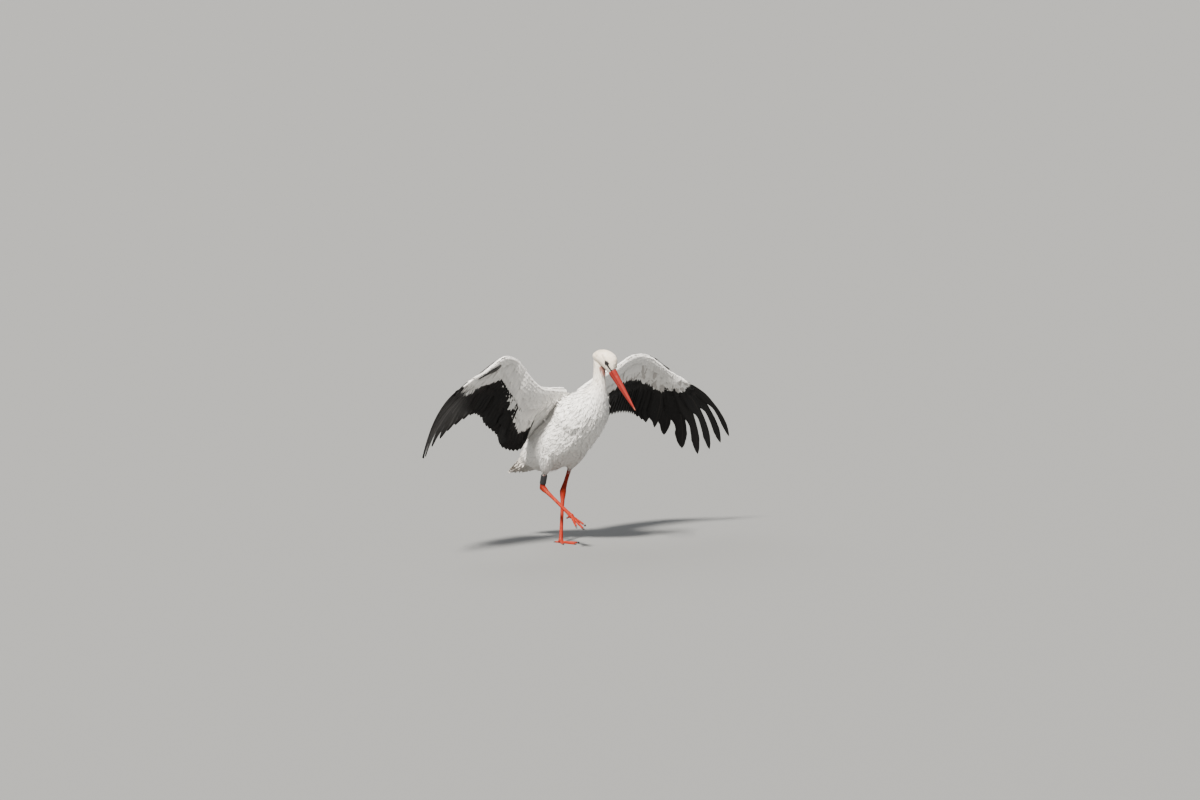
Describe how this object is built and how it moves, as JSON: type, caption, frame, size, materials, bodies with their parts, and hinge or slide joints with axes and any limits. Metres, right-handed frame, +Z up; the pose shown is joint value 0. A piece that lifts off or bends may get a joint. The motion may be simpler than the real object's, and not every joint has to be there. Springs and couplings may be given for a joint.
{
  "type": "white stork",
  "caption": "Life-size white stork stepping forward with half-open drooping wings, black flight feathers, red bill and legs, and a plain leg ring.",
  "frame": {"origin": "on the floor, on the sole of the standing (left) foot under its ball, where the toes meet", "axes": "+Z is up. The bird faces -Y, so its left side is +X and its tail is towards +Y."},
  "size_m": [1.7245, 0.6272, 0.797],
  "materials": {
    "white_plumage": "soft overlapping feathers",
    "black_plumage": "black feathers with a slight sheen",
    "red_horn": "red horn, satin",
    "red_leg_skin": "scaly red skin",
    "dark_horn": "dark horn, satin",
    "eye": "wet, glossy",
    "ring_plastic": "plain black plastic"
  },
  "bodies": {
    "root": {"head": "white_plumage", "neck_upper": "white_plumage", "neck_lower": "white_plumage", "trunk": "white_plumage", "tail": "white_plumage", "upper_arm_left": "white_plumage", "forearm_left": "white_plumage", "hand_left": "white_plumage", "thigh_left": "white_plumage", "alula_left": "black_plumage", "tertials_left": "black_plumage", "secondaries_left": "black_plumage", "primaries_left": "black_plumage", "shank_left": "red_leg_skin", "tarsus_left": "red_leg_skin", "foot_left": "red_leg_skin", "claw_left_inner": "dark_horn", "claw_left_middle": "dark_horn", "claw_left_outer": "dark_horn", "claw_left_hind": "dark_horn", "eye_left": "eye", "upper_arm_right": "white_plumage", "forearm_right": "white_plumage", "hand_right": "white_plumage", "thigh_right": "white_plumage", "alula_right": "black_plumage", "tertials_right": "black_plumage", "secondaries_right": "black_plumage", "primaries_right": "black_plumage", "shank_right": "red_leg_skin", "tarsus_right": "red_leg_skin", "foot_right": "red_leg_skin", "claw_right_inner": "dark_horn", "claw_right_middle": "dark_horn", "claw_right_outer": "dark_horn", "claw_right_hind": "dark_horn", "eye_right": "eye", "bill_upper": "red_horn", "bill_lower": "red_horn", "leg_ring": "ring_plastic"}
  },
  "joints": []
}
